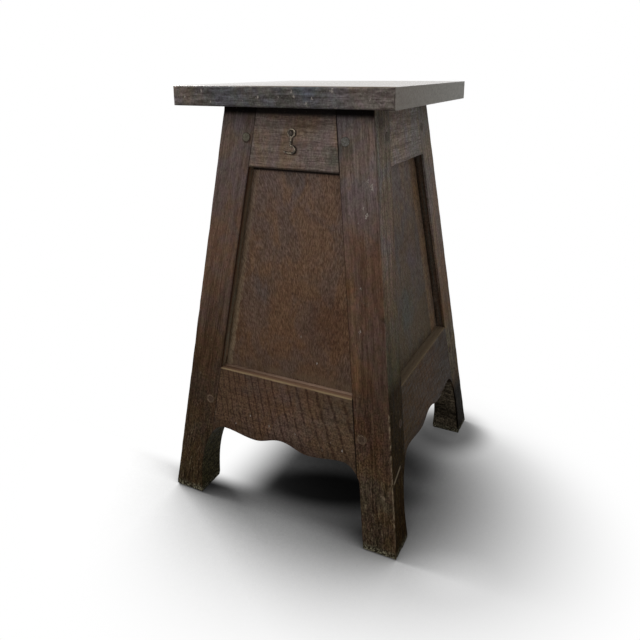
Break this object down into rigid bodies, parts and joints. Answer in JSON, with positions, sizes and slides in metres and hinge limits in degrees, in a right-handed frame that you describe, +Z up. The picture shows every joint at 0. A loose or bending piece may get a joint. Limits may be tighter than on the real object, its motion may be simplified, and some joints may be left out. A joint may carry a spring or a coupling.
{
  "type": "side table",
  "caption": "Small square oak side table: a four-sided panelled body that widens to shaped feet, with pegged rails, waved aprons and a hanging wire hook on the front rail.",
  "frame": {"origin": "on the floor under the middle of the table", "axes": "+Z up, -Y towards the front with the hook, +X to the right seen from the front"},
  "size_m": [0.426, 0.43, 0.7],
  "materials": {
    "oak_leg": "dark stained oak, worn wax",
    "oak_rail": "dark stained oak, worn wax",
    "oak_panel": "dark stained oak, dull",
    "oak_top": "dark stained oak, scratched and greyed",
    "oak_peg": "dark stained end grain",
    "cleat_wood": "bare planed oak",
    "screw_steel": "dull, slightly rusted",
    "hook_metal": "darkened brass, bright on worn edges"
  },
  "bodies": {
    "stand": {"leg_front_left": "oak_leg", "leg_front_right": "oak_leg", "leg_back_left": "oak_leg", "leg_back_right": "oak_leg", "top_rail_front": "oak_rail", "top_rail_back": "oak_rail", "top_rail_left": "oak_rail", "top_rail_right": "oak_rail", "bottom_rail_front": "oak_rail", "bottom_rail_back": "oak_rail", "bottom_rail_left": "oak_rail", "bottom_rail_right": "oak_rail", "panel_front": "oak_panel", "panel_back": "oak_panel", "panel_left": "oak_panel", "panel_right": "oak_panel", "pegs_front": "oak_peg", "pegs_back": "oak_peg", "pegs_left": "oak_peg", "pegs_right": "oak_peg", "top_plank_front": "oak_top", "top_plank_back": "oak_top", "cleat_front": "cleat_wood", "cleat_back": "cleat_wood", "cleat_screws": "screw_steel", "top_screws": "screw_steel", "hook_screw": "hook_metal"},
    "hook": {"hook": "hook_metal"}
  },
  "joints": [
    {"name": "hook_swing", "type": "hinge", "parent": "stand", "child": "hook", "pos_m": [-0.003, -0.12687, 0.6318], "axis": [0, -0.9899, 0.1414], "continuous": true}
  ]
}
